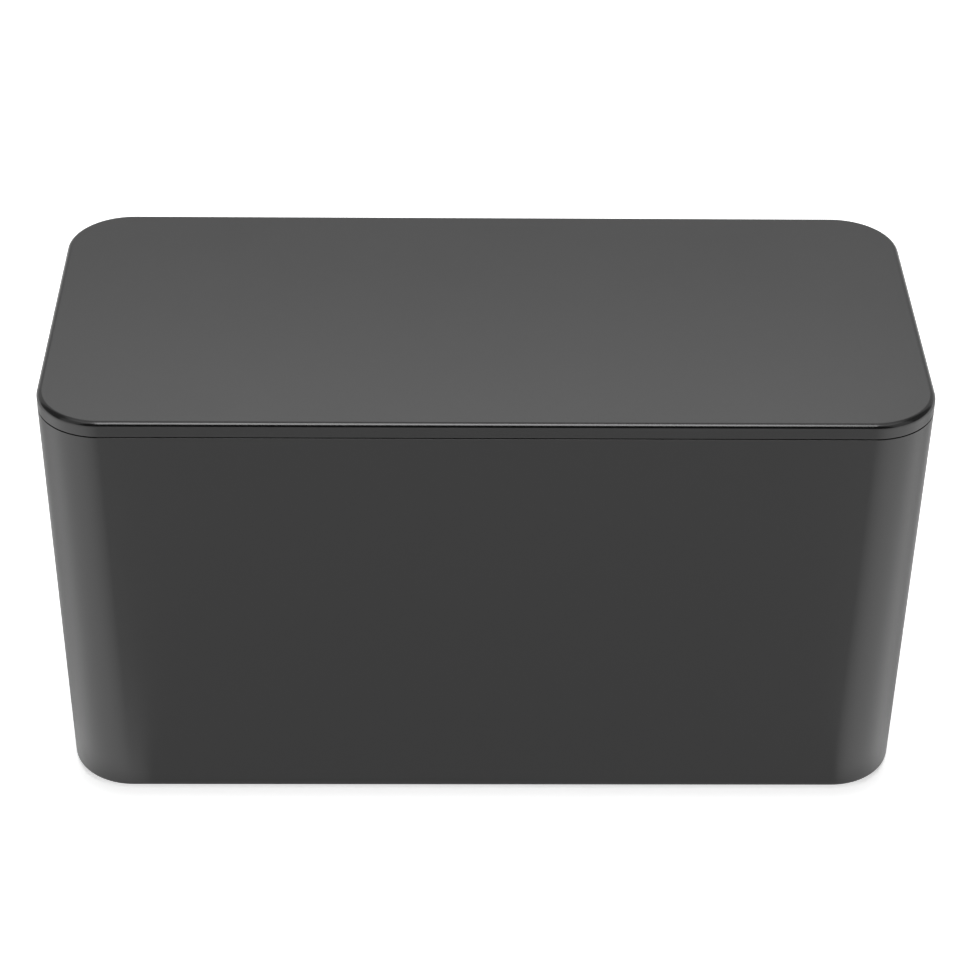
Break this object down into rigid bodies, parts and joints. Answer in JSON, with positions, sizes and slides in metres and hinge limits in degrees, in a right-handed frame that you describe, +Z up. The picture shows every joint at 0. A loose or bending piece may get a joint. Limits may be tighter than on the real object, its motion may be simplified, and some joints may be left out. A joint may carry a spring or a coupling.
{
  "type": "cable management box",
  "caption": "Rectangular box with rounded corners, a U-shaped cable outlet in each end wall, a flush lift-off lid and rubber feet.",
  "frame": {"origin": "on the surface that the feet rest on, under the middle of the box", "axes": "+X along the width to the right, +Y to the back, +Z up"},
  "size_m": [0.246, 0.116, 0.129],
  "materials": {
    "tub": "satin black",
    "lid": "satin black",
    "foot": "matt"
  },
  "bodies": {
    "box": {"tub": "tub", "foot_front_left": "foot", "foot_front_right": "foot", "foot_rear_left": "foot", "foot_rear_right": "foot"},
    "lid": {"lid": "lid"}
  },
  "joints": [
    {"name": "lid_lift", "type": "slide", "parent": "box", "child": "lid", "axis": [0, 0, 1], "range_m": [0, 0.12]}
  ]
}
